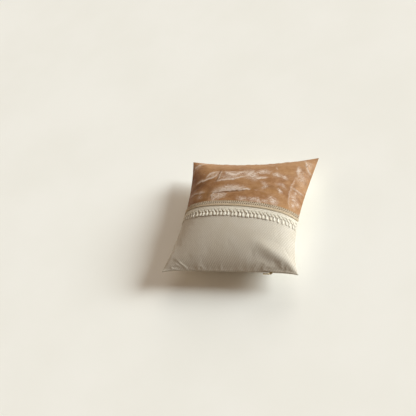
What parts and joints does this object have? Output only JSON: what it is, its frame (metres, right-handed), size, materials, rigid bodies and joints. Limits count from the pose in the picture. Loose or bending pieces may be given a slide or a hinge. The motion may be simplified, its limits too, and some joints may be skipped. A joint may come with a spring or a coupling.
{
  "type": "throw pillow",
  "caption": "Square knife-edge throw pillow: leather upper face, twill lower face, woven braid and tufted fringe across the join, zipped cover over a filled insert.",
  "frame": {"origin": "on the floor under the middle of the pillow, which lies on its back", "axes": "+Z is the normal of the face and the short way through the pillow, +Y points to the leather end, +X to the right of the face, and the zip is in the seam at -Y"},
  "size_m": [0.43, 0.43, 0.137],
  "materials": {
    "leather": "waxed, with pale scuffs",
    "twill": "cotton twill, matt",
    "back_cloth": "plain cotton, matt",
    "braid": "woven gimp braid",
    "tape": "plain woven tape",
    "fringe": "cotton yarn",
    "thread": "polyester sewing thread",
    "zip_tape": "woven polyester",
    "zip_coil": "nylon",
    "zip_metal": "antique brass",
    "ticking": "down-proof cotton",
    "fibre": "polyester fibre"
  },
  "bodies": {
    "pillow": {"front_upper_panel": "leather", "front_lower_panel": "twill", "back_panel": "back_cloth", "join_seam_thread": "thread", "cover_seam_thread": "thread", "join_braid": "braid", "braid_upper_stitching": "thread", "braid_lower_stitching": "thread", "fringe_tape": "tape", "fringe_stitching": "thread", "fringe_heading": "fringe", "fringe_tufts": "fringe", "zip_tape_front": "zip_tape", "zip_tape_back": "zip_tape", "zip_coil_front": "zip_coil", "zip_coil_back": "zip_coil", "zip_stop_closed_end": "zip_metal", "zip_stop_open_end": "zip_metal", "insert_front_panel": "ticking", "insert_back_panel": "ticking", "insert_seam_thread": "thread", "insert_filling": "fibre"},
    "slider": {"zip_slider": "zip_metal", "zip_pull_pin": "zip_metal"},
    "pull": {"zip_pull_tab": "zip_metal"}
  },
  "joints": [
    {"name": "zip_slide", "type": "slide", "parent": "pillow", "child": "slider", "axis": [-1, 0, 0], "range_m": [0, 0.266]},
    {"name": "pull_tab_hinge", "type": "hinge", "parent": "slider", "child": "pull", "pos_m": [0.133, -0.2134, 0.064], "axis": [0, 0, 1], "range_deg": [0, 175]}
  ]
}
